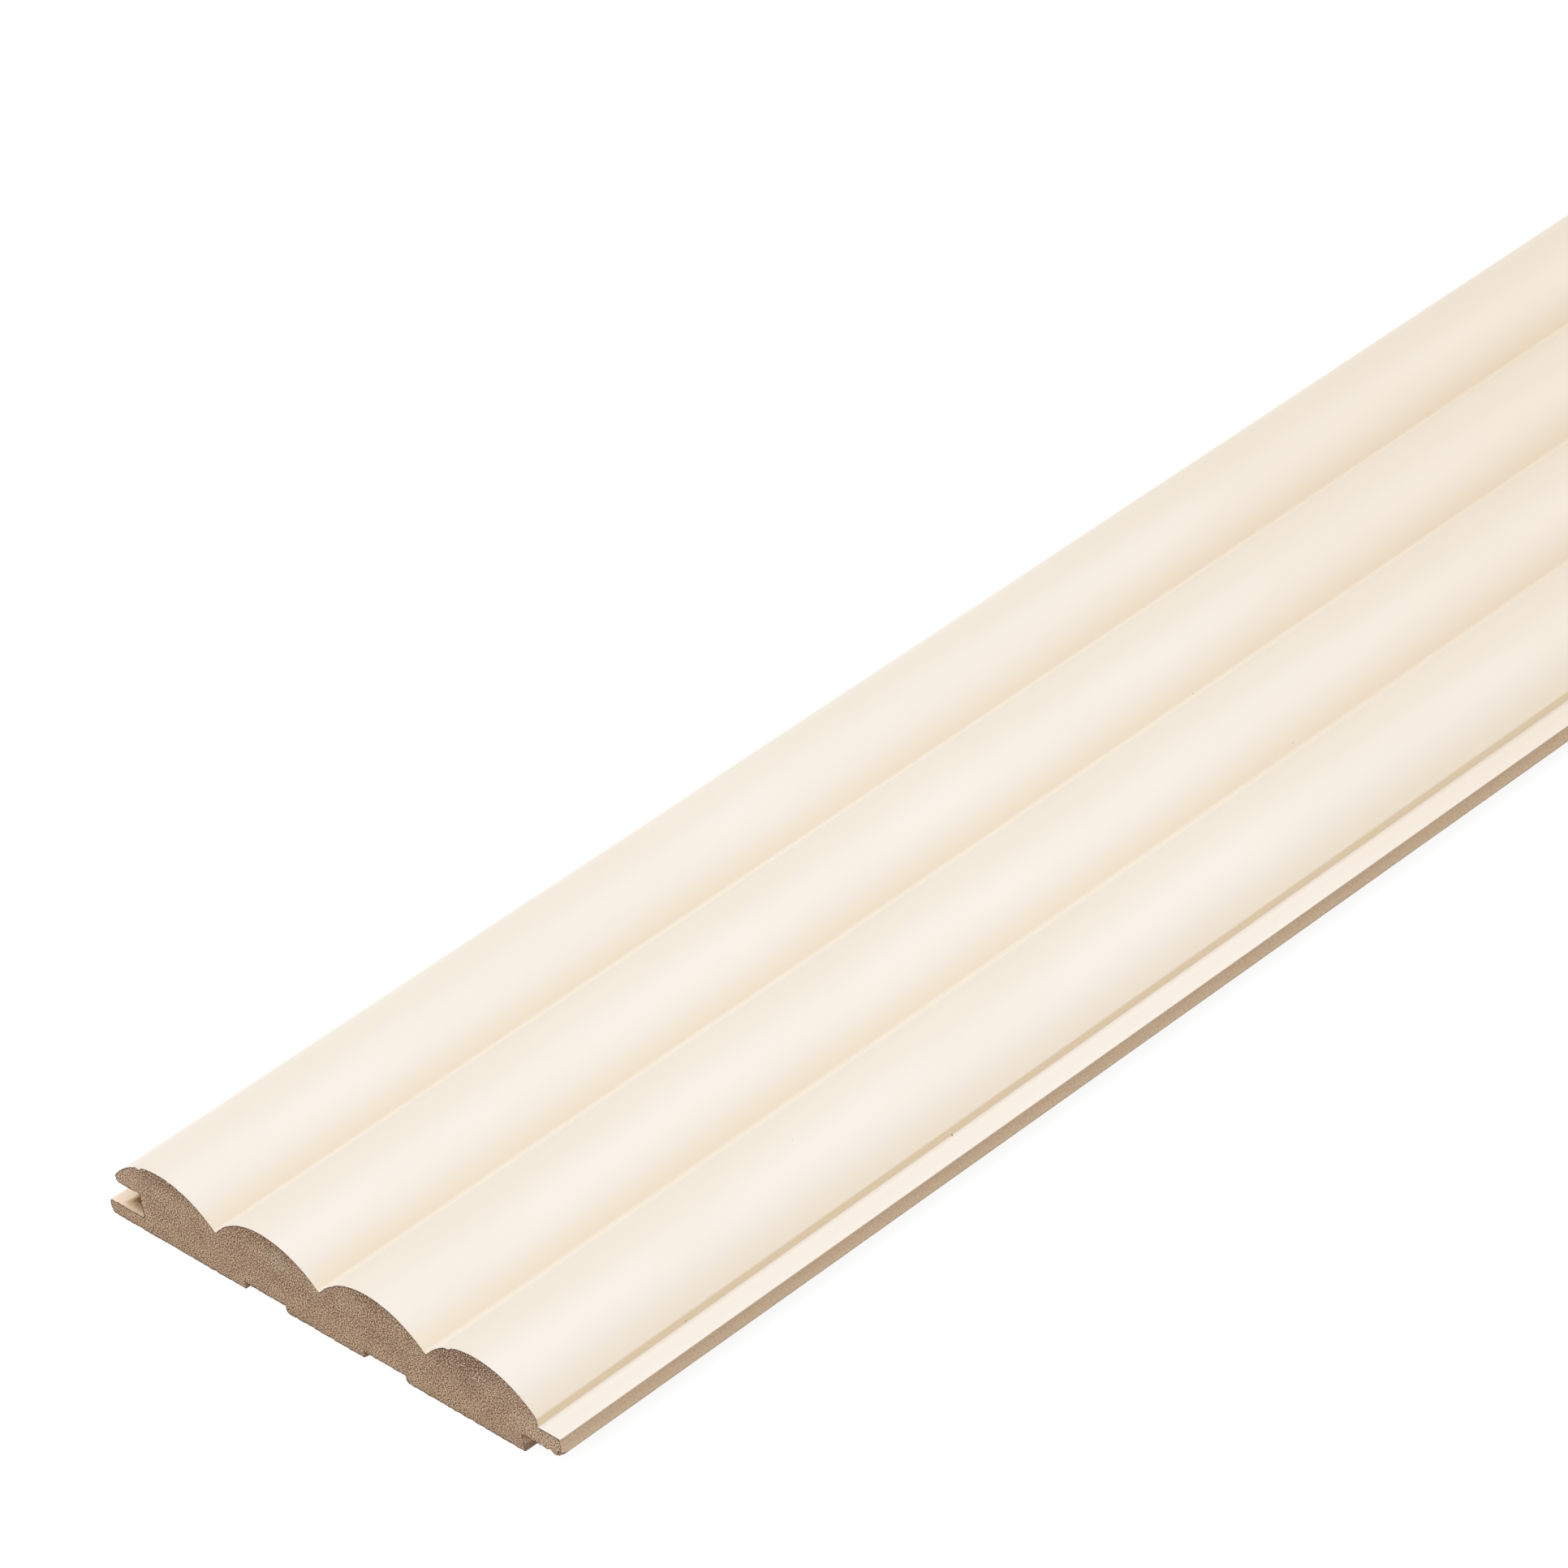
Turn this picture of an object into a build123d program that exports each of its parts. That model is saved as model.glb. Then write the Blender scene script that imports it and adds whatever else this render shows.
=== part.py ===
from build123d import *
import math
import os

# Reeded wall panel, machined from one length of medium density fibreboard and painted on its face.
# Millimetres. X runs across the panel from the groove to the tongue, Y along it, and Z is up from
# the flat back that lies on the wall. The origin is on the back, under the middle of the panel.
# Across the panel, sizes are taken from the left face line, where the first reed starts.

# Board
panel_length = 2700.0
panel_thickness = 16.0

# Face: a row of convex reeds that meet in tight valleys, the last a little wider, up to the shoulder
reed_count = 4
reed_pitch = 27.7
reed_radius = 18.5
last_reed_extra = 0.35
valley_radius = 0.5
face_arris_radius = 0.3

# Tongue on the right edge, a shoulder's height below the reeds' valleys
shoulder_height = 1.85
tongue_thickness = 4.3
tongue_length = 5.3
tongue_lower_chamfer = 1.0
tongue_upper_radius = 0.3

# Groove in the left edge, which takes the tongue of the next panel
joint_clearance = 0.4
groove_end_clearance = 1.0
groove_root_radius = 0.5
upper_lip_radius = 0.8

# Lower lip, longer than the upper one, which the next panel's side stays clear of
lower_lip_reach = 3.5
lower_lip_radius = 1.1
lip_end_clearance = 1.5

# Back: two shallow relief grooves along the whole panel
relief_count = 2
relief_width = 10.5
relief_depth = 1.5
relief_spacing = 31.6
first_relief_middle = 38.85
relief_edge_radius = 0.8
back_corner_radius = 0.5

# The largest share of a lip's height that one of its rounded corners may take
upper_lip_share = 0.75
lower_lip_share = 0.4

# Worked out from the sizes above
cover_width = reed_count * reed_pitch + last_reed_extra
reed_rise = reed_radius - math.sqrt(reed_radius**2 - (reed_pitch / 2) ** 2)
valley_height = panel_thickness - reed_rise
tongue_top_height = valley_height - shoulder_height
tongue_bottom_height = tongue_top_height - tongue_thickness
tongue_tip_x = cover_width + tongue_length
groove_top_height = tongue_top_height + joint_clearance
groove_bottom_height = tongue_bottom_height - joint_clearance
groove_root_x = tongue_length + groove_end_clearance
side_x = cover_width - lower_lip_reach - lip_end_clearance
upper_lip_ease = min(upper_lip_radius, upper_lip_share * (valley_height - groove_top_height))
lower_lip_ease = min(lower_lip_radius, lower_lip_share * groove_bottom_height)
middle_x = (tongue_tip_x - lower_lip_reach) / 2
section_plane = Plane(origin=(-middle_x, 0, 0), x_dir=(1, 0, 0), z_dir=(0, -1, 0))


def box_between(left, right, low, high, mode):
    """Add or cut the rectangle between two places across the panel and two heights."""
    with Locations(((left + right) / 2, (low + high) / 2)):
        Rectangle(right - left, high - low, mode=mode)


def corners(sketch, *places):
    """The sketch's corners nearest to the given places."""
    return [sketch.vertices().sort_by_distance((x, z, 0))[0] for x, z in places]


with BuildPart() as wall_panel:
    with BuildSketch(section_plane) as section:
        # The body, from the reeded face down to the flat back
        with BuildLine():
            valleys = [reed * reed_pitch for reed in range(reed_count)] + [cover_width]
            for left, right in zip(valleys, valleys[1:]):
                crown = ((left + right) / 2, panel_thickness)
                ThreePointArc((left, valley_height), crown, (right, valley_height))
            Polyline(
                (cover_width, valley_height),
                (cover_width, tongue_bottom_height),
                (side_x, tongue_bottom_height),
                (side_x, 0),
                (-lower_lip_reach, 0),
                (-lower_lip_reach, groove_bottom_height),
                (0, groove_bottom_height),
                (0, valley_height),
            )
        make_face()

        # The tongue, the groove and the relief grooves
        box_between(side_x, tongue_tip_x, tongue_bottom_height, tongue_top_height, Mode.ADD)
        box_between(-lower_lip_reach, groove_root_x, groove_bottom_height, groove_top_height, Mode.SUBTRACT)
        relief_sides = []
        for relief in range(relief_count):
            relief_middle = first_relief_middle + relief * relief_spacing
            relief_left = relief_middle - relief_width / 2
            relief_right = relief_middle + relief_width / 2
            box_between(relief_left, relief_right, -relief_depth, relief_depth, Mode.SUBTRACT)
            relief_sides += [relief_left, relief_right]

        # Eased corners
        fillet(corners(section, *[(x, valley_height) for x in valleys[1:-1]]), valley_radius)
        face_arrises = [(0, valley_height), (cover_width, valley_height)]
        fillet(corners(section, *face_arrises), face_arris_radius)
        chamfer(corners(section, (tongue_tip_x, tongue_bottom_height)), tongue_lower_chamfer)
        fillet(corners(section, (tongue_tip_x, tongue_top_height)), tongue_upper_radius)
        fillet(corners(section, (0, groove_top_height)), upper_lip_ease)
        groove_root = [(groove_root_x, groove_top_height), (groove_root_x, groove_bottom_height)]
        fillet(corners(section, *groove_root), groove_root_radius)
        lip_nose = [(-lower_lip_reach, groove_bottom_height), (-lower_lip_reach, 0)]
        fillet(corners(section, *lip_nose), lower_lip_ease)
        fillet(corners(section, (side_x, 0)), back_corner_radius)
        fillet(corners(section, *[(x, 0) for x in relief_sides]), relief_edge_radius)
    extrude(amount=panel_length / 2, both=True)

wall_panel.part.label = "wall_panel"

os.makedirs("parts", exist_ok=True)
export_step(wall_panel.part, "parts/wall_panel.step")
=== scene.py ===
import bmesh
import bpy
import math
from mathutils import Matrix, Vector, geometry, noise


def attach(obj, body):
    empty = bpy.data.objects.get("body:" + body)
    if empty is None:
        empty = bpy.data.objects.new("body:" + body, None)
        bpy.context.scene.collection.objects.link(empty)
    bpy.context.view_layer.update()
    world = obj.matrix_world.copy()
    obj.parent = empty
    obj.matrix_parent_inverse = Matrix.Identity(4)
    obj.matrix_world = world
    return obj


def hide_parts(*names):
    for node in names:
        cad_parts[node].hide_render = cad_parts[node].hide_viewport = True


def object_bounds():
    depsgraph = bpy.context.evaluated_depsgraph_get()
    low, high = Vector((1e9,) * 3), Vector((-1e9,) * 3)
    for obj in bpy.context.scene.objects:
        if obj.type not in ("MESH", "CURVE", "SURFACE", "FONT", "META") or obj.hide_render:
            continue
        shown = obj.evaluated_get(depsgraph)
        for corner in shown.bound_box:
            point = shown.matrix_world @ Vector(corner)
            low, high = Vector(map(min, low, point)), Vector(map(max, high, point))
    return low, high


# A reeded wall panel of painted medium density fibreboard, lying on its flat back.
# Metres. X runs across the panel from the groove to the tongue, Y along it, and Z is up.
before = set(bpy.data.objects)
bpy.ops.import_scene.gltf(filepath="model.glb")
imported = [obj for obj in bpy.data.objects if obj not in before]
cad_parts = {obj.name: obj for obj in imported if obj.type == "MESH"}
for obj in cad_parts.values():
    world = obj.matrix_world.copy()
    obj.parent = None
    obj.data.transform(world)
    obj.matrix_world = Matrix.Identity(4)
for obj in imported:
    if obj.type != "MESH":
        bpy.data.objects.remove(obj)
cad_low, cad_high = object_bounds()
mm = 0.001

# Sizes of the section. Across the panel, they are taken from the left face line.
panel_thickness = 16 * mm
reed_count = 4
reed_pitch = 27.7 * mm
reed_radius = 18.5 * mm
last_reed_extra = 0.35 * mm
valley_radius = 0.5 * mm
face_arris_radius = 0.3 * mm
shoulder_height = 1.85 * mm
tongue_thickness = 4.3 * mm
tongue_length = 5.3 * mm
tongue_lower_chamfer = 1 * mm
tongue_upper_radius = 0.3 * mm
joint_clearance = 0.4 * mm
groove_end_clearance = 1 * mm
groove_root_radius = 0.5 * mm
upper_lip_radius = 0.8 * mm
lower_lip_reach = 3.5 * mm
lower_lip_radius = 1.1 * mm
lip_end_clearance = 1.5 * mm
relief_width = 10.5 * mm
relief_depth = 1.5 * mm
relief_middles = (38.85 * mm, 70.45 * mm)
relief_edge_radius = 0.8 * mm
back_corner_radius = 0.5 * mm

# Worked out from the sizes and from the frame
cover_width = reed_count * reed_pitch + last_reed_extra
reed_rise = reed_radius - math.sqrt(reed_radius**2 - (reed_pitch / 2) ** 2)
valley_height = panel_thickness - reed_rise
tongue_top = valley_height - shoulder_height
tongue_bottom = tongue_top - tongue_thickness
tongue_tip = cover_width + tongue_length
groove_top = tongue_top + joint_clearance
groove_bottom = tongue_bottom - joint_clearance
groove_root = tongue_length + groove_end_clearance
side = cover_width - lower_lip_reach - lip_end_clearance
left_face = cad_low.x + lower_lip_reach
near_end = cad_low.y
far_end = cad_high.y
panel_length = far_end - near_end

# Mesh spacing: round the section, across the sawn ends and along the panel from each end
curve_step = 0.25 * mm
straight_step = 0.4 * mm
slice_step = 4 * mm
ring_distances = [0.12 * mm, 0.3 * mm, 0.6 * mm, 1.2 * mm, 2.5 * mm, 8 * mm, 30 * mm]
ring_step = 150 * mm

# Sawn ends: the paint's thickness, the crushed skin under it, and how far in the saw tears the arris
film_thickness = 0.07 * mm
skin_thickness = 0.25 * mm
tear_reach = 1.5 * mm
tear_length = 0.7 * mm
face_tear = 0.05 * mm
back_tear = 0.18 * mm
tongue_tear = 0.35 * mm

# Spray drift and painted light: how far in past the groove's mouth the floor stays pale, out of the upper
# lip's shadow
mouth_reach = 1.2 * mm

# Chips that the saw broke out of the outline at the near end: place across and up, reach and depth
chips = [
    (8.1 * mm, 15.1 * mm, 0.9 * mm, 0.4 * mm),
    (16.6 * mm, 15.8 * mm, 0.35 * mm, 0.3 * mm),
    (19.3 * mm, 15.2 * mm, 0.5 * mm, 0.15 * mm),
    (29.6 * mm, 11.6 * mm, 0.4 * mm, 0.12 * mm),
    (59.5 * mm, 13.2 * mm, 0.5 * mm, 0.12 * mm),
    (89.9 * mm, 14.6 * mm, 1.0 * mm, 0.3 * mm),
    (116.2 * mm, 4.2 * mm, 1.4 * mm, 0.45 * mm),
    (113.2 * mm, 3.6 * mm, 0.8 * mm, 0.3 * mm),
    (6.1 * mm, 8.2 * mm, 0.8 * mm, 0.35 * mm),
]

# Painted highlight: how far the slopes that are painted whitest lean towards the tongue
highlight_lean = math.radians(20)

# Dirt under the paint: place across, along from the near end and up, radius and darkness
specks = [
    (111.2 * mm, 95.96 * mm, 8.0 * mm, 0.2 * mm, 1.0),
    (111.2 * mm, 33.45 * mm, 8.35 * mm, 0.18 * mm, 0.8),
    (111.04 * mm, 101.09 * mm, 9.89 * mm, 0.14 * mm, 0.3),
    (102.02 * mm, 100.0 * mm, 15.35 * mm, 0.14 * mm, 0.12),
    (98.1 * mm, 72.1 * mm, 15.97 * mm, 0.2 * mm, 0.2),
    (32.8 * mm, 117.5 * mm, 13.8 * mm, 0.15 * mm, 0.2),
    (32.88 * mm, 105.23 * mm, 13.84 * mm, 0.14 * mm, 0.12),
    (54.4 * mm, 78.56 * mm, 10.8 * mm, 0.14 * mm, 0.12),
    (55.07 * mm, 213.45 * mm, 10.12 * mm, 0.2 * mm, 0.35),
    (82.0 * mm, 211.8 * mm, 10.89 * mm, 0.2 * mm, 0.35),
]

# Denser, greener and redder places in the board on the near end: place across and up, radius,
# strength and colour
board_patches = [
    (-1.5 * mm, 1.6 * mm, 3 * mm, 0.35, "#AD896E"),
    (45 * mm, 11.8 * mm, 3.6 * mm, 0.4, "#B3AC8F"),
    (63 * mm, 12.2 * mm, 5 * mm, 0.25, "#D9BC9E"),
    (80 * mm, 11.8 * mm, 3.8 * mm, 0.35, "#8A684F"),
    (86.5 * mm, 12 * mm, 3.6 * mm, 0.45, "#6A4A36"),
    (91.5 * mm, 14.2 * mm, 8.5 * mm, 0.5, "#6A4A36"),
    (98 * mm, 15.5 * mm, 6 * mm, 0.3, "#5E3F2C"),
    (109.5 * mm, 7.2 * mm, 3.4 * mm, 0.6, "#CFB793"),
    (104.5 * mm, 2 * mm, 2.8 * mm, 0.5, "#CEA694"),
    (112.5 * mm, 4.3 * mm, 2.4 * mm, 0.4, "#EAD0B6"),
]

PAINTED, SAWN, OVERSPRAYED, SANDED = range(4)


def linear(hex_colour):
    """A colour written as sRGB hex, as the linear numbers that Blender works in."""
    parts = [int(hex_colour[place:place + 2], 16) / 255 for place in (1, 3, 5)]
    return [part / 12.92 if part <= 0.04045 else ((part + 0.055) / 1.055) ** 2.4 for part in parts] + [1]


def add_node(tree, kind, inputs, **settings):
    """Add a node, set it up, feed it with values or other nodes' outputs, and give its outputs."""
    node = tree.nodes.new(kind)
    for name, value in settings.items():
        setattr(node, name, value)
    sockets = {socket.identifier: socket for socket in node.inputs}
    for name, value in inputs.items():
        if isinstance(value, bpy.types.NodeSocket):
            tree.links.new(value, sockets[name])
        else:
            sockets[name].default_value = value
    return {socket.identifier: socket for socket in node.outputs}


def new_tree(name):
    """An empty material and its node tree."""
    material = bpy.data.materials.new(name)
    material.use_nodes = True
    material.node_tree.nodes.clear()
    return material, material.node_tree


def shoulder_film_and_shade(tree, lean, height):
    """Where the shoulder's wall is painted tan, for thin film and as painted shade on the sideways wall: not
    at its top or its foot, which stay pale.
    """
    steep = add_node(tree, "ShaderNodeMapRange", {
        "Value": lean, "From Min": math.sin(math.radians(58)), "From Max": math.sin(math.radians(80)),
    }, interpolation_type="SMOOTHSTEP")["Result"]
    below_top = add_node(tree, "ShaderNodeMapRange", {
        "Value": height, "From Min": valley_height - 0.1 * mm, "From Max": valley_height - 0.38 * mm,
    }, interpolation_type="SMOOTHSTEP")["Result"]
    above_foot = add_node(tree, "ShaderNodeMapRange", {
        "Value": height, "From Min": tongue_top - 0.25 * mm, "From Max": tongue_top + 0.3 * mm,
    }, interpolation_type="SMOOTHSTEP")["Result"]
    on_shoulder = add_node(tree, "ShaderNodeMath", {
        "Value": steep, "Value_001": below_top}, operation="MULTIPLY")["Value"]
    return add_node(tree, "ShaderNodeMath", {
        "Value": on_shoulder, "Value_001": above_foot}, operation="MULTIPLY")["Value"]


def film_and_painted_light(tree, place):
    """The film's colour, with painted light: a painted highlight on slopes leaning towards the tongue, a
    painted reflection on the left flanks, painted shade on the right flanks, in the valleys and along the
    panel, lighter on the tongue, and warmer where the film is thin.
    """
    spot = add_node(tree, "ShaderNodeSeparateXYZ", {"Vector": place})
    normal = add_node(tree, "ShaderNodeNewGeometry", {})["Normal"]
    lean = add_node(tree, "ShaderNodeSeparateXYZ", {"Vector": normal})["X"]
    # Painted highlight: the film is painted whitest on slopes that lean towards the tongue, where the
    # overhead softbox's highlight falls
    facing_highlight = add_node(tree, "ShaderNodeVectorMath", {
        "Vector": normal, "Vector_001": (math.sin(highlight_lean), 0, math.cos(highlight_lean)),
    }, operation="DOT_PRODUCT")["Value"]
    painted_highlight = add_node(tree, "ShaderNodeMapRange", {
        "Value": facing_highlight, "From Min": math.cos(math.radians(27)), "From Max": 1.0,
    }, interpolation_type="SMOOTHSTEP")["Result"]
    # Painted light: the tongue's top and the shoulder's foot are painted lighter, and lightest in the corner
    # between them, lifting the shade there
    on_tongue = add_node(tree, "ShaderNodeMapRange", {
        "Value": spot["Z"], "From Min": tongue_top + 0.2 * mm, "From Max": tongue_top,
    }, interpolation_type="SMOOTHSTEP")["Result"]
    corner_light = add_node(tree, "ShaderNodeMapRange", {
        "Value": spot["X"],
        "From Min": left_face + cover_width + 2.5 * mm, "From Max": left_face + cover_width,
    }, interpolation_type="SMOOTHSTEP")["Result"]
    corner_light = add_node(tree, "ShaderNodeMath", {
        "Value": corner_light, "Value_001": on_tongue}, operation="MULTIPLY")["Value"]
    # Painted reflection: the left flanks are painted paler, as where they turn away they catch a grazing
    # reflection
    left_flank_reflection = add_node(tree, "ShaderNodeMapRange", {
        "Value": lean, "From Min": math.sin(math.radians(-26)), "From Max": math.sin(math.radians(-38)),
    }, interpolation_type="SMOOTHSTEP")["Result"]
    # Painted shade: the right flanks are painted warmer and darker, as shade and warm bounce from the next
    # reed
    right_flank_shade = add_node(tree, "ShaderNodeMapRange", {
        "Value": lean, "From Min": math.sin(math.radians(30)), "From Max": math.sin(math.radians(48)),
    }, interpolation_type="SMOOTHSTEP")["Result"]
    # Painted shade: low in the valleys between the reeds the film is painted warmer and darker
    low_down = add_node(tree, "ShaderNodeMapRange", {
        "Value": spot["Z"], "From Min": valley_height + 0.5 * mm, "From Max": valley_height + 0.15 * mm,
    }, interpolation_type="SMOOTHSTEP")["Result"]
    between_reeds = add_node(tree, "ShaderNodeMath", {
        "Value": spot["X"], "Value_001": left_face + cover_width - reed_pitch / 2,
    }, operation="LESS_THAN")["Value"]
    valley_shade = add_node(tree, "ShaderNodeMath", {
        "Value": low_down, "Value_001": between_reeds}, operation="MULTIPLY")["Value"]
    # Partly painted shade: the sideways shoulder wall is painted tan, for its thin film and for the shade on
    # it
    on_shoulder = shoulder_film_and_shade(tree, lean, spot["Z"])
    colour = linear("#F3E9DA")
    for share, shade in (
        (painted_highlight, "#F2EAE0"),
        (left_flank_reflection, "#FEF7ED"),
        (right_flank_shade, "#F1E4D1"),
        (valley_shade, "#F2E6D1"),
        (on_tongue, "#F7EFE5"),
        (corner_light, "#FFFCF8"),
        (on_shoulder, "#E4D0B0"),
    ):
        colour = add_node(tree, "ShaderNodeMix", {
            "Factor_Float": share, "A_Color": colour, "B_Color": linear(shade),
        }, data_type="RGBA")["Result_Color"]

    # Painted shade: darker and warmer more than 120 mm in from the ends, standing in for light that falls off
    # along the panel
    from_middle = add_node(tree, "ShaderNodeMath", {"Value": spot["Y"]}, operation="ABSOLUTE")["Value"]
    painted_falloff = add_node(tree, "ShaderNodeMapRange", {
        "Value": from_middle, "From Min": far_end - 120 * mm, "From Max": far_end - 360 * mm,
        "To Min": 0.0, "To Max": 0.5,
    }, interpolation_type="SMOOTHSTEP")["Result"]
    return add_node(tree, "ShaderNodeMix", {
        "Factor_Float": painted_falloff, "A_Color": colour, "B_Color": linear("#E5D5BC"),
    }, data_type="RGBA")["Result_Color"]


def dirt_under_paint(tree, place):
    """How much the specks of dirt darken the paint."""
    dirt = 0.0
    full_inside = 0.4
    for across, along, up, radius, darkness in specks:
        distance = add_node(tree, "ShaderNodeVectorMath", {
            "Vector": place, "Vector_001": (left_face + across, near_end + along, up),
        }, operation="DISTANCE")["Value"]
        dot = add_node(tree, "ShaderNodeMapRange", {
            "Value": distance, "From Min": full_inside * radius, "From Max": radius,
            "To Min": darkness, "To Max": 0.0,
        }, interpolation_type="SMOOTHSTEP")["Result"]
        dirt = add_node(tree, "ShaderNodeMath", {
            "Value": dot, "Value_001": dirt}, operation="MAXIMUM")["Value"]
    return dirt


def satin_paint():
    """Satin alkyd, sprayed from above: cream, with a painted highlight, reflection and shade in its colour,
    and warmer where the film is thin.
    """
    material, tree = new_tree("satin_paint")
    place = add_node(tree, "ShaderNodeTexCoord", {})["Object"]
    colour = film_and_painted_light(tree, place)

    # Clouding as broad as a pass of the gun, faint enough to be barely seen
    cloud_place = add_node(tree, "ShaderNodeMapping", {
        "Vector": place, "Scale": (14 * mm, 50 * mm, 14 * mm)}, vector_type="TEXTURE")["Vector"]
    cloud = add_node(tree, "ShaderNodeTexNoise", {
        "Vector": cloud_place, "Scale": 1.0, "Detail": 2.0, "Roughness": 0.5})["Fac"]
    clouded = add_node(tree, "ShaderNodeMapRange", {
        "Value": cloud, "From Min": 0.35, "From Max": 0.65, "To Min": 0.0, "To Max": 0.12})["Result"]
    colour = add_node(tree, "ShaderNodeMix", {
        "Factor_Float": clouded, "A_Color": colour, "B_Color": linear("#EADBC3"),
    }, data_type="RGBA")["Result_Color"]

    colour = add_node(tree, "ShaderNodeMix", {
        "Factor_Float": dirt_under_paint(tree, place), "A_Color": colour, "B_Color": linear("#2E2418"),
    }, data_type="RGBA")["Result_Color"]

    # Orange peel of sprayed paint, 1.5 mm from dimple to dimple
    peel = add_node(tree, "ShaderNodeTexNoise", {
        "Vector": place, "Scale": 1 / (1.5 * mm), "Detail": 1.0, "Roughness": 0.4})["Fac"]
    relief = add_node(tree, "ShaderNodeBump", {
        "Height": peel, "Distance": 0.006 * mm, "Strength": 1.0})["Normal"]
    gloss = add_node(tree, "ShaderNodeMapRange", {
        "Value": cloud, "From Min": 0.3, "From Max": 0.7, "To Min": 0.39, "To Max": 0.45})["Result"]
    surface = add_node(tree, "ShaderNodeBsdfPrincipled", {
        "Base Color": colour, "Roughness": gloss, "IOR": 1.5, "Normal": relief})["BSDF"]
    add_node(tree, "ShaderNodeOutputMaterial", {"Surface": surface})
    return material


def board_through(tree, place):
    """The board's colour: dense and dark under the face, paler by the back and the edges, with patches."""
    spot = add_node(tree, "ShaderNodeSeparateXYZ", {"Vector": place})
    patch = add_node(tree, "ShaderNodeTexNoise", {
        "Vector": place, "Scale": 1 / (9 * mm), "Detail": 2.0, "Roughness": 0.6})["Fac"]
    pale = add_node(tree, "ShaderNodeMapRange", {
        "Value": spot["Z"], "From Min": 8 * mm, "From Max": 2 * mm,
    }, interpolation_type="SMOOTHSTEP")["Result"]
    dense = add_node(tree, "ShaderNodeMapRange", {
        "Value": spot["Z"], "From Min": 11 * mm, "From Max": 15.6 * mm,
    }, interpolation_type="SMOOTHSTEP")["Result"]
    patched = add_node(tree, "ShaderNodeMapRange", {
        "Value": patch, "From Min": 0.35, "From Max": 0.65})["Result"]
    colour = add_node(tree, "ShaderNodeMix", {
        "Factor_Float": patched, "A_Color": linear("#BC9D7F"), "B_Color": linear("#AF886D"),
    }, data_type="RGBA")["Result_Color"]
    colour = add_node(tree, "ShaderNodeMix", {
        "Factor_Float": pale, "A_Color": colour, "B_Color": linear("#C9A586"),
    }, data_type="RGBA")["Result_Color"]
    colour = add_node(tree, "ShaderNodeMix", {
        "Factor_Float": dense, "A_Color": colour, "B_Color": linear("#8B694D"),
    }, data_type="RGBA")["Result_Color"]
    by_groove = add_node(tree, "ShaderNodeMapRange", {
        "Value": spot["X"], "From Min": left_face + 13 * mm, "From Max": left_face + 2 * mm, "To Max": 0.4,
    }, interpolation_type="SMOOTHSTEP")["Result"]
    above_lip = add_node(tree, "ShaderNodeMapRange", {
        "Value": spot["Z"], "From Min": 1.5 * mm, "From Max": 5 * mm,
    }, interpolation_type="SMOOTHSTEP")["Result"]
    by_groove = add_node(tree, "ShaderNodeMath", {
        "Value": by_groove, "Value_001": above_lip}, operation="MULTIPLY")["Value"]
    by_tongue = add_node(tree, "ShaderNodeMapRange", {
        "Value": spot["X"], "From Min": left_face + 101 * mm, "From Max": left_face + 105 * mm, "To Max": 0.3,
    }, interpolation_type="SMOOTHSTEP")["Result"]
    below_reed = add_node(tree, "ShaderNodeMapRange", {
        "Value": spot["Z"], "From Min": 10.5 * mm, "From Max": 8 * mm,
    }, interpolation_type="SMOOTHSTEP")["Result"]
    by_tongue = add_node(tree, "ShaderNodeMath", {
        "Value": by_tongue, "Value_001": below_reed}, operation="MULTIPLY")["Value"]
    by_edges = add_node(tree, "ShaderNodeMath", {
        "Value": by_groove, "Value_001": by_tongue}, operation="ADD")["Value"]
    colour = add_node(tree, "ShaderNodeMix", {
        "Factor_Float": by_edges, "A_Color": colour, "B_Color": linear("#E9CFB2"),
    }, data_type="RGBA")["Result_Color"]
    full_inside = 0.3
    for across, up, radius, strength, shade in board_patches:
        distance = add_node(tree, "ShaderNodeVectorMath", {
            "Vector": place, "Vector_001": (left_face + across, near_end, up),
        }, operation="DISTANCE")["Value"]
        inside = add_node(tree, "ShaderNodeMapRange", {
            "Value": distance, "From Min": radius, "From Max": full_inside * radius, "To Max": strength,
        }, interpolation_type="SMOOTHSTEP")["Result"]
        colour = add_node(tree, "ShaderNodeMix", {
            "Factor_Float": inside, "A_Color": colour, "B_Color": linear(shade),
        }, data_type="RGBA")["Result_Color"]
    return colour


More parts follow.
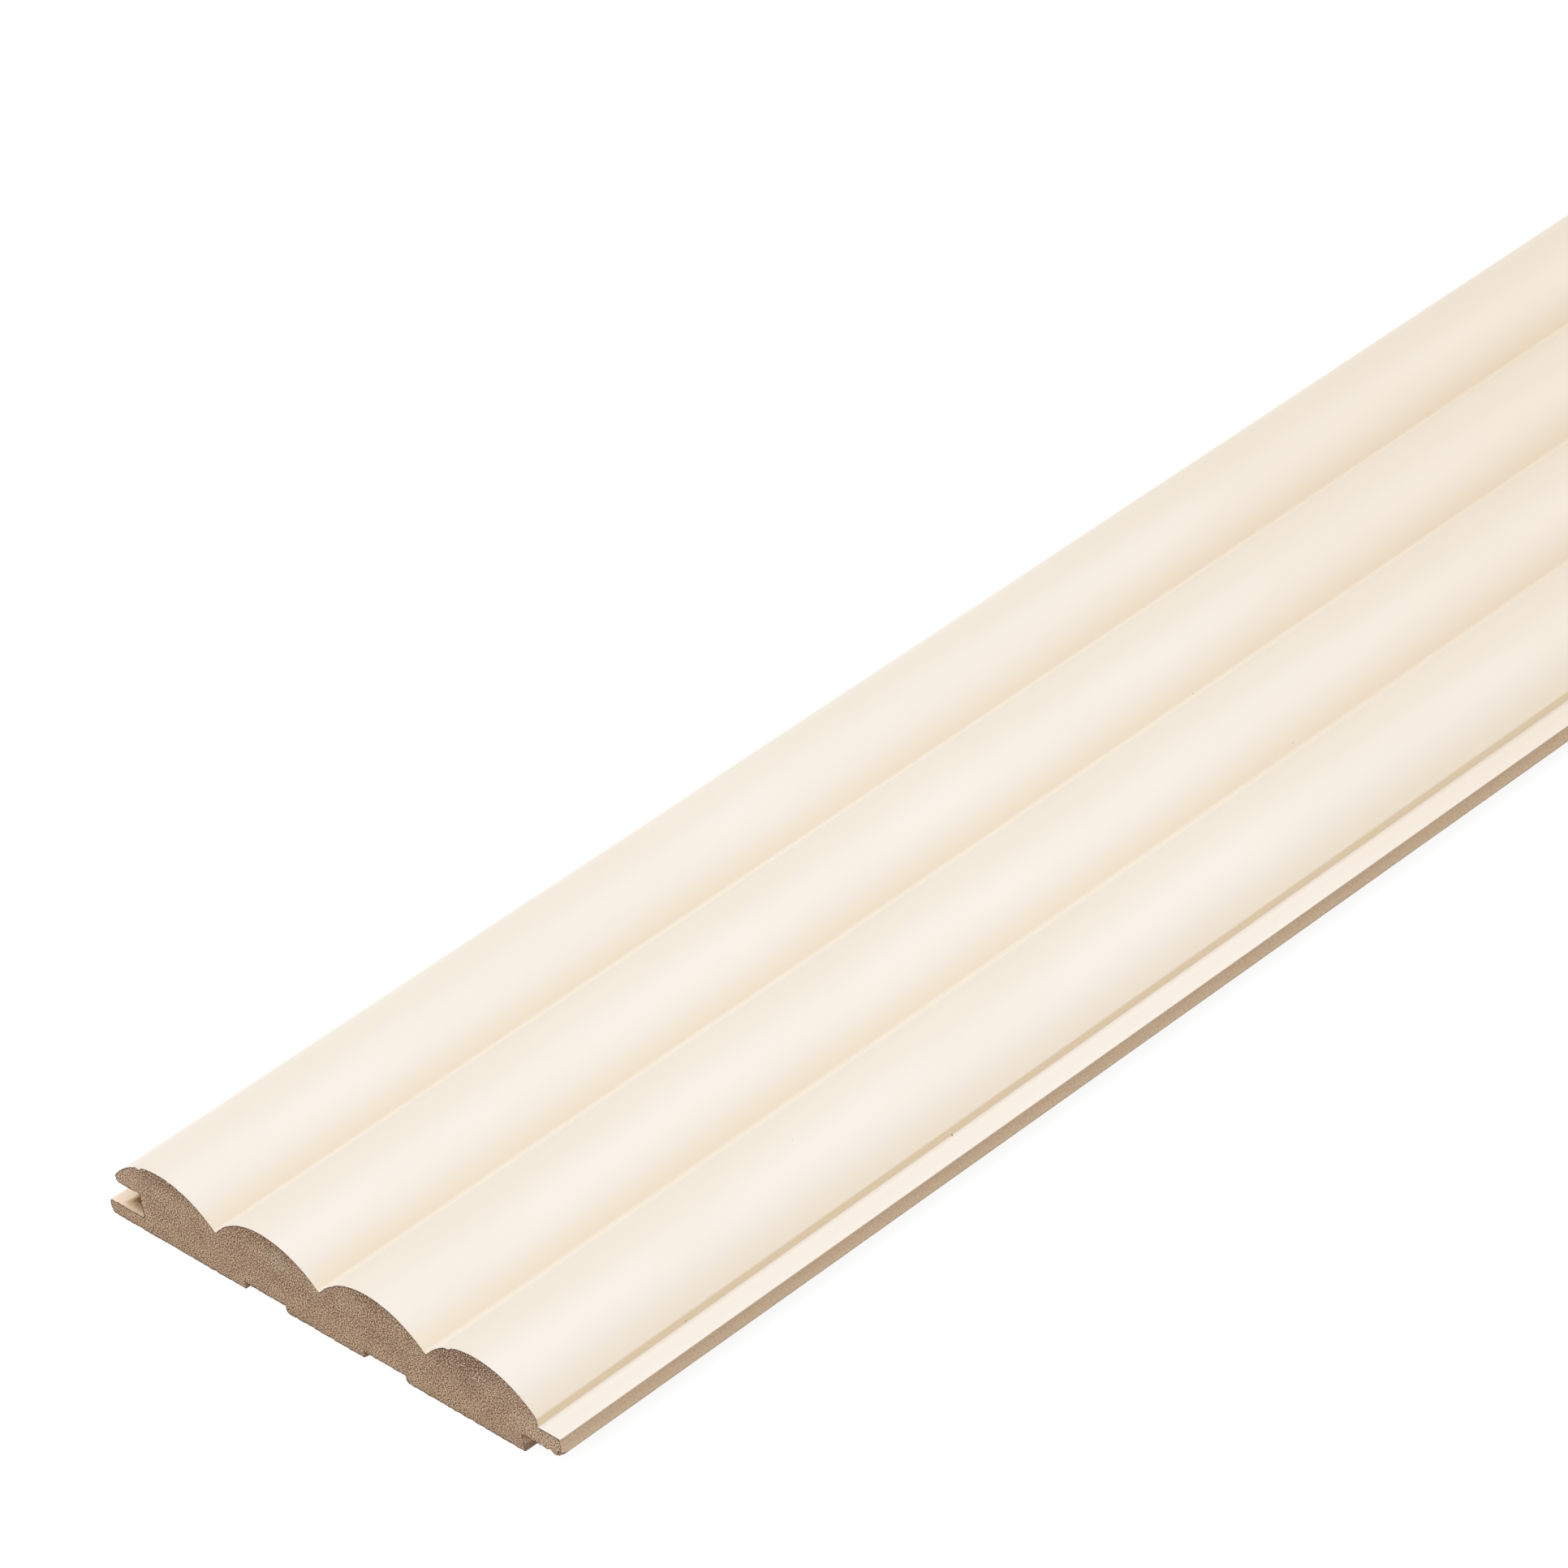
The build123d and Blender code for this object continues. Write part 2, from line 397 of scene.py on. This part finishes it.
def sawn_fibreboard():
    """Fibreboard cut across by a saw: brown felt of torn fibres, denser and darker under the face."""
    material, tree = new_tree("sawn_fibreboard")
    place = add_node(tree, "ShaderNodeTexCoord", {})["Object"]
    colour = board_through(tree, place)

    # Bundles of fibre, dragged aslant by the saw's teeth: 0.23 mm across and 0.4 mm along the drag,
    # because single fibres, about 0.03 mm thick, are too fine to show
    drag = (0, math.radians(-42), 0)
    fibre_place = add_node(tree, "ShaderNodeMapping", {
        "Vector": place, "Rotation": drag, "Scale": (0.4 * mm, 0.4 * mm, 0.23 * mm),
    }, vector_type="TEXTURE")["Vector"]
    fibre = add_node(tree, "ShaderNodeTexNoise", {
        "Vector": fibre_place, "Scale": 1.0, "Detail": 1.0, "Roughness": 0.5})["Fac"]
    clump_place = add_node(tree, "ShaderNodeMapping", {
        "Vector": place, "Rotation": drag, "Scale": (5 * mm, 3 * mm, 2.6 * mm),
    }, vector_type="TEXTURE")["Vector"]
    clump = add_node(tree, "ShaderNodeTexNoise", {
        "Vector": clump_place, "Scale": 1.0, "Detail": 1.0, "Roughness": 0.5})["Fac"]

    # Light fibre ends and the dark gaps between them
    gaps = add_node(tree, "ShaderNodeMapRange", {
        "Value": fibre, "From Min": 0.5, "From Max": 0.35, "To Min": 0.0, "To Max": 1.0})["Result"]
    tips = add_node(tree, "ShaderNodeMapRange", {
        "Value": fibre, "From Min": 0.5, "From Max": 0.65, "To Min": 0.0, "To Max": 1.0})["Result"]
    colour = add_node(tree, "ShaderNodeMix", {
        "Factor_Float": gaps, "A_Color": colour, "B_Color": linear("#553D2D"),
    }, data_type="RGBA")["Result_Color"]
    colour = add_node(tree, "ShaderNodeMix", {
        "Factor_Float": tips, "A_Color": colour, "B_Color": linear("#ECD4BA"),
    }, data_type="RGBA")["Result_Color"]
    shade = add_node(tree, "ShaderNodeMapRange", {
        "Value": clump, "From Min": 0.35, "From Max": 0.62, "To Min": 0.16, "To Max": 0.0})["Result"]
    colour = add_node(tree, "ShaderNodeMix", {
        "Factor_Float": shade, "A_Color": colour, "B_Color": linear("#6E5643"),
    }, data_type="RGBA")["Result_Color"]

    # The skin that the cutters crushed and the saw scorched, dark along the outline
    crushed = add_node(tree, "ShaderNodeAttribute", {}, attribute_name="crushed")["Fac"]
    crushed_share = add_node(tree, "ShaderNodeMath", {
        "Value": crushed, "Value_001": 0.9}, operation="MULTIPLY")["Value"]
    colour = add_node(tree, "ShaderNodeMix", {
        "Factor_Float": crushed_share, "A_Color": colour, "B_Color": linear("#432A1F"),
    }, data_type="RGBA")["Result_Color"]

    relief = add_node(tree, "ShaderNodeBump", {
        "Height": fibre, "Distance": 0.06 * mm, "Strength": 0.6})["Normal"]
    surface = add_node(tree, "ShaderNodeBsdfPrincipled", {
        "Base Color": colour, "Roughness": 0.95, "IOR": 1.45,
        "Specular IOR Level": 0.2, "Normal": relief})["BSDF"]
    add_node(tree, "ShaderNodeOutputMaterial", {"Surface": surface})
    return material


def oversprayed_fibreboard():
    """Moulded board with drifted spray: tan and dry, with the cutters' fine lines along it."""
    material, tree = new_tree("oversprayed_fibreboard")
    place = add_node(tree, "ShaderNodeTexCoord", {})["Object"]
    # The drifted spray, with painted light near the sawn ends and past the groove's mouth
    spray = add_node(tree, "ShaderNodeAttribute", {}, attribute_name="spray_and_light")["Fac"]

    # Cutter lines 0.4 mm apart along the panel, and fibres standing across them, with painted shade in the
    # groove.
    # Single fibres are too fine to show, so they are drawn as bundles of 0.5 mm.
    line_place = add_node(tree, "ShaderNodeMapping", {
        "Vector": place, "Scale": (0.4 * mm, 25 * mm, 0.4 * mm)}, vector_type="TEXTURE")["Vector"]
    lines = add_node(tree, "ShaderNodeTexNoise", {
        "Vector": line_place, "Scale": 1.0, "Detail": 2.0, "Roughness": 0.6})["Fac"]
    fibre_place = add_node(tree, "ShaderNodeMapping", {
        "Vector": place, "Scale": (0.5 * mm, 0.5 * mm, 0.5 * mm)}, vector_type="TEXTURE")["Vector"]
    fibre = add_node(tree, "ShaderNodeTexNoise", {
        "Vector": fibre_place, "Scale": 1.0, "Detail": 2.0, "Roughness": 0.6})["Fac"]
    rough = add_node(tree, "ShaderNodeMath", {"Value": lines, "Value_001": fibre}, operation="ADD")["Value"]
    colour = add_node(tree, "ShaderNodeMix", {
        "Factor_Float": add_node(tree, "ShaderNodeMapRange", {
            "Value": rough, "From Min": 0.75, "From Max": 1.25})["Result"],
        "A_Color": linear("#997A57"), "B_Color": linear("#B18F6B"),
    }, data_type="RGBA")["Result_Color"]
    across = add_node(tree, "ShaderNodeSeparateXYZ", {"Vector": place})["X"]
    in_groove = add_node(tree, "ShaderNodeMath", {
        "Value": across, "Value_001": left_face + groove_root + mm}, operation="LESS_THAN")["Value"]
    # Painted shade: the bare board in the groove is painted darker and redder, as shade deep in the recess
    groove_shade = add_node(tree, "ShaderNodeMath", {
        "Value": in_groove, "Value_001": 0.6}, operation="MULTIPLY")["Value"]
    colour = add_node(tree, "ShaderNodeMix", {
        "Factor_Float": groove_shade, "A_Color": colour, "B_Color": linear("#6B4530"),
    }, data_type="RGBA")["Result_Color"]

    # Spray drift: a thin warm veil, and paint as good as closed where it is thickest. Near the sawn ends and
    # past the groove's mouth, part of the veil is painted light.
    drift = add_node(tree, "ShaderNodeMath", {
        "Value": add_node(tree, "ShaderNodeMapRange", {
            "Value": fibre, "From Min": 0.3, "From Max": 0.7, "To Min": -0.08, "To Max": 0.08})["Result"],
        "Value_001": spray,
    }, operation="ADD", use_clamp=True)["Value"]
    covered = add_node(tree, "ShaderNodeMapRange", {
        "Value": drift, "From Min": 0.8, "From Max": 1.0}, interpolation_type="SMOOTHSTEP")["Result"]
    # In the groove the veil is oranger, partly painted light of the floor lit through the open end
    thin_spray = add_node(tree, "ShaderNodeMix", {
        "Factor_Float": in_groove, "A_Color": linear("#F1DCC0"), "B_Color": linear("#FFE0B2"),
    }, data_type="RGBA")["Result_Color"]
    colour = add_node(tree, "ShaderNodeMix", {
        "Factor_Float": drift, "A_Color": colour, "B_Color": thin_spray,
    }, data_type="RGBA")["Result_Color"]
    colour = add_node(tree, "ShaderNodeMix", {
        "Factor_Float": covered, "A_Color": colour, "B_Color": linear("#FFEBD4"),
    }, data_type="RGBA")["Result_Color"]

    # Painted shade underneath: faces that look down are painted a dark grey-brown, as if in shade
    normal = add_node(tree, "ShaderNodeNewGeometry", {})["Normal"]
    underside_shade = add_node(tree, "ShaderNodeMapRange", {
        "Value": add_node(tree, "ShaderNodeSeparateXYZ", {"Vector": normal})["Z"],
        "From Min": -0.4, "From Max": -0.6})["Result"]
    colour = add_node(tree, "ShaderNodeMix", {
        "Factor_Float": underside_shade, "A_Color": colour, "B_Color": linear("#7D6555"),
    }, data_type="RGBA")["Result_Color"]
    relief = add_node(tree, "ShaderNodeBump", {
        "Height": rough, "Distance": 0.03 * mm, "Strength": 0.5})["Normal"]
    surface = add_node(tree, "ShaderNodeBsdfPrincipled", {
        "Base Color": colour, "Roughness": 0.8, "IOR": 1.45,
        "Specular IOR Level": 0.3, "Normal": relief})["BSDF"]
    add_node(tree, "ShaderNodeOutputMaterial", {"Surface": surface})
    return material


def sanded_fibreboard():
    """Bare sanded back: warm brown, almost smooth, with the belt's fine scratches along it."""
    material, tree = new_tree("sanded_fibreboard")
    place = add_node(tree, "ShaderNodeTexCoord", {})["Object"]

    # The belt's scratches and the fibres between them, both too fine to show and so drawn 0.5 mm apart
    scratch_place = add_node(tree, "ShaderNodeMapping", {
        "Vector": place, "Scale": (0.5 * mm, 60 * mm, 0.5 * mm)}, vector_type="TEXTURE")["Vector"]
    scratches = add_node(tree, "ShaderNodeTexNoise", {
        "Vector": scratch_place, "Scale": 1.0, "Detail": 3.0, "Roughness": 0.6})["Fac"]
    fibre = add_node(tree, "ShaderNodeTexNoise", {
        "Vector": place, "Scale": 1 / (0.5 * mm), "Detail": 3.0, "Roughness": 0.6})["Fac"]
    rough = add_node(tree, "ShaderNodeMath", {
        "Value": scratches, "Value_001": fibre}, operation="ADD")["Value"]
    colour = add_node(tree, "ShaderNodeMix", {
        "Factor_Float": add_node(tree, "ShaderNodeMapRange", {
            "Value": rough, "From Min": 0.7, "From Max": 1.3})["Result"],
        "A_Color": linear("#97795F"), "B_Color": linear("#BC9F84"),
    }, data_type="RGBA")["Result_Color"]
    relief = add_node(tree, "ShaderNodeBump", {
        "Height": rough, "Distance": 0.02 * mm, "Strength": 0.5})["Normal"]
    surface = add_node(tree, "ShaderNodeBsdfPrincipled", {
        "Base Color": colour, "Roughness": 0.8, "IOR": 1.45,
        "Specular IOR Level": 0.3, "Normal": relief})["BSDF"]
    add_node(tree, "ShaderNodeOutputMaterial", {"Surface": surface})
    return material


def reed_between(left, right):
    """Centre and radius of the reed that rises between two valleys."""
    half = (right - left) / 2
    radius = (half**2 + reed_rise**2) / (2 * reed_rise)
    return Vector(((left + right) / 2, panel_thickness - radius)), radius


def arris_on(reed, radius, across):
    """Centre of the small round where a reed meets an edge of the face, at its place across."""
    inner = radius - face_arris_radius
    return Vector((across, reed.y + math.sqrt(inner**2 - (across - reed.x) ** 2)))


def face_turns():
    """The turns that make the face line: the centre of each, and the surface's lean where it ends."""
    valleys = [reed * reed_pitch for reed in range(reed_count)] + [cover_width]
    reeds = [reed_between(left, right) for left, right in zip(valleys, valleys[1:])]
    rounds = [arris_on(*reeds[0], face_arris_radius)]
    for (here, here_radius), (there, there_radius) in zip(reeds, reeds[1:]):
        meetings = geometry.intersect_sphere_sphere_2d(
            here, here_radius + valley_radius, there, there_radius + valley_radius)
        rounds.append(max(meetings, key=lambda meeting: meeting.y))
    rounds.append(arris_on(*reeds[-1], cover_width - face_arris_radius))
    turns = []
    for (reed, radius), left, right in zip(reeds, rounds, rounds[1:]):
        turns.append((left, math.atan2(left.x - reed.x, left.y - reed.y)))
        turns.append((reed, math.atan2(right.x - reed.x, right.y - reed.y)))
    turns.append((rounds[-1], math.radians(90)))
    return turns


def lower_corners():
    """The corners from the shoulder round the tongue, the back and the groove: place, ease and segments."""
    corners = [
        (cover_width, tongue_top, 0, 0),
        (tongue_tip, tongue_top, tongue_upper_radius, 4),
        (tongue_tip, tongue_bottom, tongue_lower_chamfer, 1),
        (side, tongue_bottom, 0, 0),
        (side, 0, back_corner_radius, 4),
    ]
    for middle in reversed(relief_middles):
        right = middle + relief_width / 2
        left = middle - relief_width / 2
        corners += [
            (right, 0, relief_edge_radius, 6),
            (right, relief_depth, 0, 0),
            (left, relief_depth, 0, 0),
            (left, 0, relief_edge_radius, 6),
        ]
    corners += [
        (-lower_lip_reach, 0, lower_lip_radius, 8),
        (-lower_lip_reach, groove_bottom, lower_lip_radius, 8),
        (groove_root, groove_bottom, groove_root_radius, 4),
        (groove_root, groove_top, groove_root_radius, 4),
        (0, groove_top, upper_lip_radius, 6),
    ]
    return corners


def at_near_end(x, z):
    """A place in the section, in the frame."""
    return Vector((left_face + x, near_end, z))


def draw_section(bm):
    """The section as one face: a vertex spun round the face's circles, then the corners, then their eases."""
    turns = face_turns()
    arris, lean = turns[0][0], math.radians(-90)
    first = bm.verts.new(at_near_end(arris.x - face_arris_radius, arris.y))
    pen = first
    for centre, next_lean in turns:
        middle = at_near_end(*centre)
        arc = abs(next_lean - lean) * (pen.co - middle).length
        spun = bmesh.ops.spin(bm, geom=[pen], cent=middle, axis=(0, 1, 0), angle=next_lean - lean,
                              steps=max(4, round(arc / curve_step)), use_merge=False)
        pen = spun["geom_last"][0]
        lean = next_lean
    eased = []
    for x, z, ease, segments in lower_corners():
        corner = bm.verts.new(at_near_end(x, z))
        bm.edges.new((pen, corner))
        pen = corner
        if ease:
            eased.append((corner, ease, segments))
    bm.edges.new((pen, first))
    bmesh.ops.contextual_create(bm, geom=bm.edges[:])
    for corner, ease, segments in eased:
        bmesh.ops.bevel(bm, geom=[corner], affect="VERTICES", offset=ease, segments=segments,
                        profile=0.5, material=-1)
    for edge in bm.edges[:]:
        cuts = int(edge.calc_length() / straight_step)
        if cuts:
            bmesh.ops.subdivide_edges(bm, edges=[edge], cuts=cuts)
    return bm.faces[:][0]


def cut_across(bm, place, direction):
    """Give the whole mesh a line of vertices where a plane crosses it."""
    bmesh.ops.bisect_plane(bm, geom=bm.verts[:] + bm.edges[:] + bm.faces[:], dist=1e-7,
                           plane_co=place, plane_no=direction)


def band_section(bm, section, band, crushed):
    """Inset the section twice: the paint film's edge, and the crushed skin that fades into the board."""
    film = bmesh.ops.inset_region(bm, faces=[section], use_boundary=True, use_even_offset=True,
                                  thickness=film_thickness)["faces"]
    for face in film:
        face[band] = 1
    bmesh.ops.inset_region(bm, faces=[section], use_boundary=True, use_even_offset=True,
                           thickness=skin_thickness)
    for vert in section.verts:
        vert[crushed] = 0


def draw_out(bm):
    """Slice the section, draw it out to the panel's length, and ring the walls, closest at the ends."""
    slice_count = round((cad_high.x - cad_low.x) / slice_step)
    for cut in range(1, slice_count):
        cut_across(bm, (cad_low.x + cut * slice_step, 0, 0), (1, 0, 0))
    grown = bmesh.ops.extrude_face_region(bm, geom=bm.faces[:])["geom"]
    bmesh.ops.translate(bm, verts=[part for part in grown if isinstance(part, bmesh.types.BMVert)],
                        vec=(0, panel_length, 0))
    stations = [near_end + distance for distance in ring_distances]
    stations += [far_end - distance for distance in ring_distances]
    ring_count = round(panel_length / ring_step)
    stations += [near_end + ring * ring_step for ring in range(1, ring_count)]
    for station in stations:
        cut_across(bm, (0, station, 0), (0, 1, 0))
    bmesh.ops.recalc_face_normals(bm, faces=bm.faces[:])


def inland(y):
    """How far a place lies from the nearer sawn end."""
    return min(y - near_end, far_end - y)


def is_painted(x, z):
    """Whether the spray covers this place on the outline: the face, the shoulder and the tongue's top."""
    on_face = z > valley_height - shoulder_height / 3
    on_shoulder = x > cover_width - film_thickness and z > tongue_top - tongue_upper_radius / 2
    return on_face or on_shoulder


def spray_and_light_at(x, z, from_end):
    """How pale the bare moulded edges are at this place, 0 for bare and 1 for covered: drifted spray, and
    painted light near the sawn ends and past the groove's mouth.
    """
    on_tip = x > tongue_tip - film_thickness
    on_chamfer = on_tip and z < tongue_bottom + tongue_lower_chamfer + 0.2 * mm
    on_side = not on_tip and x > side - film_thickness
    if on_chamfer:
        return 0.35
    if on_tip:
        return 0.62 - 0.3 * (z - tongue_bottom) / tongue_thickness
    if on_side:
        return 0.77 - 0.18 * z / mm
    # Past the groove's mouth, out of the upper lip's shadow, the floor is pale, and under the lip dark: spray
    # drift, and painted light and shade
    mouth_spray_and_light = min(max(1 - x / mouth_reach, 0), 1)
    # Near the sawn ends the groove is paler: some spray, and painted light where light comes in at the open
    # end
    end_spray_and_light = min(max(1.5 - 0.66 * from_end / mm, 0), 0.92)
    return max(mouth_spray_and_light, end_spray_and_light)


def finish_faces(bm, band):
    """Give each face its finish, and let the shading break only at real corners."""
    ends = []
    for face in bm.faces:
        middle = face.calc_center_median()
        x, z = middle.x - left_face, middle.z
        on_end = abs(face.normal.y) > 0.9
        face.smooth = not on_end
        if on_end:
            face.material_index = SAWN
            if face[band]:
                ends.append(face)
        elif is_painted(x, z):
            face.material_index = PAINTED
        elif z < relief_depth + 0.01 * mm and x > -lower_lip_reach + 0.01 * mm:
            face.material_index = SANDED
        else:
            face.material_index = OVERSPRAYED
    for face in ends:
        beside = [other for edge in face.edges for other in edge.link_faces if abs(other.normal.y) < 0.5]
        if any(other.material_index == PAINTED for other in beside):
            face.material_index = PAINTED
    for edge in bm.edges:
        edge.smooth = len(edge.link_faces) == 2 and edge.calc_face_angle(0) < math.radians(30)


def map_along(y):
    """A place's share of the way along the map, which gives the ends more room than the middle."""
    stretched = 5 * mm
    share = 0.5 * math.log(1 + inland(y) / stretched) / math.log(1 + panel_length / 2 / stretched)
    return share if y < (near_end + far_end) / 2 else 1 - share


def lay_out_map(bm, around, girth, bake_map):
    """Lay the surface out flat for the colours' bake: the walls along the map, both ends above them."""
    margin = 0.003
    walls_high = 0.72
    end_wide = 0.99
    end_step = 0.139
    end_left = (1 - end_wide) / 2
    end_scale = end_wide / (cad_high.x - cad_low.x)
    for face in bm.faces:
        if abs(face.normal.y) > 0.9:
            at_far_end = face.normal.y > 0
            end_low = walls_high + 2 * margin + at_far_end * end_step
            for loop in face.loops:
                across = cad_high.x - loop.vert.co.x if at_far_end else loop.vert.co.x - cad_low.x
                loop[bake_map].uv = (end_left + end_scale * across, end_low + end_scale * loop.vert.co.z)
            continue
        walked = [loop.vert[around] for loop in face.loops]
        for loop, way in zip(face.loops, walked):
            if way < max(walked) - girth / 2:
                way += girth
            along = 1 - margin - (1 - 2 * margin) * map_along(loop.vert.co.y)
            loop[bake_map].uv = (along, margin + (walls_high - 2 * margin) * way / girth)


def tear_at(x, z):
    """How far the saw may tear the outline in at this place."""
    if is_painted(x, z):
        return face_tear
    if x > side + film_thickness and z < tongue_top - tongue_upper_radius:
        return tongue_tear
    return back_tear


def fray(bm, outward):
    """Draw the outline in unevenly at the sawn ends, and break the chips out of the near one."""
    for vert in bm.verts:
        from_end = inland(vert.co.y)
        if from_end > tear_reach or vert[outward].length < 0.5:
            continue
        x, z = vert.co.x - left_face, vert.co.z
        fade = (1 - from_end / tear_reach) ** 2
        rag = 0.5 + 1.1 * noise.noise(vert.co / tear_length) + 0.5 * noise.noise(3 * vert.co / tear_length)
        depth = tear_at(x, z) * max(0, rag)
        if vert.co.y < 0:
            for across, up, reach, chip in chips:
                depth += chip * max(0, 1 - (math.hypot(x - across, z - up) / reach) ** 2)
        vert.co -= vert[outward] * depth * fade


def reeded_panel():
    """The whole panel: its section drawn, banded and drawn out to length, then finished and frayed."""
    bm = bmesh.new()
    around = bm.verts.layers.float.new("around")
    crushed = bm.verts.layers.float.new("crushed")
    spray_and_light = bm.verts.layers.float.new("spray_and_light")
    outward = bm.verts.layers.float_vector.new("outward")
    band = bm.faces.layers.int.new("band")
    bake_map = bm.loops.layers.uv.new("OFBake")
    section = draw_section(bm)
    section.normal_update()
    walked = 0
    for loop in section.loops:
        loop.vert[around] = walked
        loop.vert[crushed] = 1
        along = loop.link_loop_next.vert.co - loop.link_loop_prev.vert.co
        loop.vert[outward] = along.cross(section.normal).normalized()
        walked += loop.edge.calc_length()
    band_section(bm, section, band, crushed)
    draw_out(bm)
    for vert in bm.verts:
        from_end = inland(vert.co.y)
        vert[spray_and_light] = spray_and_light_at(vert.co.x - left_face, vert.co.z, from_end)
    finish_faces(bm, band)
    lay_out_map(bm, around, walked, bake_map)
    fray(bm, outward)
    mesh = bpy.data.meshes.new("reeded_panel")
    bm.to_mesh(mesh)
    bm.free()
    panel = bpy.data.objects.new("reeded_panel", mesh)
    bpy.context.scene.collection.objects.link(panel)
    for material in (satin_paint(), sawn_fibreboard(), oversprayed_fibreboard(), sanded_fibreboard()):
        mesh.materials.append(material)
    return panel


def white_floor():
    """A pale studio floor that shows white, with the panel's shadow on it."""
    material, tree = new_tree("white_floor")
    light_path = add_node(tree, "ShaderNodeLightPath", {})
    seen = add_node(tree, "ShaderNodeMath", {
        "Value": light_path["Is Camera Ray"], "Value_001": light_path["Is Glossy Ray"],
    }, operation="MAXIMUM")["Value"]
    lit = add_node(tree, "ShaderNodeBsdfDiffuse", {"Color": linear("#E0E0E0")})["BSDF"]
    shaded = add_node(tree, "ShaderNodeBsdfDiffuse", {"Color": linear("#A0A0A0")})["BSDF"]
    glow = add_node(tree, "ShaderNodeEmission", {"Color": (1, 1, 1, 1), "Strength": 0.87})["Emission"]
    shown = add_node(tree, "ShaderNodeAddShader", {"Shader": shaded, "Shader_001": glow})["Shader"]
    surface = add_node(tree, "ShaderNodeMixShader", {
        "Fac": seen, "Shader": lit, "Shader_001": shown})["Shader"]
    add_node(tree, "ShaderNodeOutputMaterial", {"Surface": surface})
    bm = bmesh.new()
    bmesh.ops.create_grid(bm, x_segments=1, y_segments=1, size=30)
    bmesh.ops.translate(bm, verts=bm.verts[:], vec=(0, 0, cad_low.z - 0.02 * mm))
    mesh = bpy.data.meshes.new("floor")
    bm.to_mesh(mesh)
    bm.free()
    mesh.materials.append(material)
    floor = bpy.data.objects.new("floor", mesh)
    bpy.context.scene.collection.objects.link(floor)
    return floor


def studio_light():
    """White surroundings, a large softbox overhead and behind, and a weaker one beside the camera."""
    world = bpy.data.worlds.new("studio")
    world.use_nodes = True
    tree = world.node_tree
    tree.nodes.clear()
    light_path = add_node(tree, "ShaderNodeLightPath", {})
    seen = add_node(tree, "ShaderNodeMath", {
        "Value": light_path["Is Camera Ray"], "Value_001": light_path["Is Glossy Ray"],
    }, operation="MAXIMUM")["Value"]
    strength = add_node(tree, "ShaderNodeMapRange", {"Value": seen, "To Min": 0.77, "To Max": 1.0})["Result"]
    background = add_node(tree, "ShaderNodeBackground", {
        "Color": (1, 1, 1, 1), "Strength": strength})["Background"]
    add_node(tree, "ShaderNodeOutputWorld", {"Surface": background})
    bpy.context.scene.world = world
    for name, toward, energy, width in (
        ("softbox_behind", (-0.158, 0.43, 0.889), 0.69, 40),
        ("softbox_in_front", (0.657, -0.505, 0.560), 0.30, 60),
    ):
        lamp = bpy.data.lights.new(name, "SUN")
        lamp.energy = energy
        lamp.angle = math.radians(width)
        softbox = bpy.data.objects.new(name, lamp)
        softbox.rotation_euler = Vector(toward).to_track_quat("Z", "Y").to_euler()
        bpy.context.scene.collection.objects.link(softbox)


def photo_camera():
    """The camera, at the photograph's place and angle."""
    data = bpy.data.cameras.new("camera")
    data.sensor_width = 36
    data.lens = 181.16
    data.clip_start = 0.05
    data.clip_end = 100
    camera = bpy.data.objects.new("camera", data)
    place = Vector((0.89873, -1.925547, 0.814236))
    right = Vector((0.679318, 0.718760, -0.148022))
    up = -Vector((0.327764, -0.477645, -0.815123))
    back = -Vector((-0.656580, 0.505212, -0.560057))
    turn = Matrix((right, up, back)).transposed().to_4x4()
    camera.matrix_world = Matrix.Translation(place) @ turn
    bpy.context.scene.collection.objects.link(camera)
    bpy.context.scene.camera = camera


panel = reeded_panel()
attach(panel, "root")
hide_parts("wall_panel")
white_floor()
studio_light()
photo_camera()
bpy.context.scene.view_settings.view_transform = "Standard"
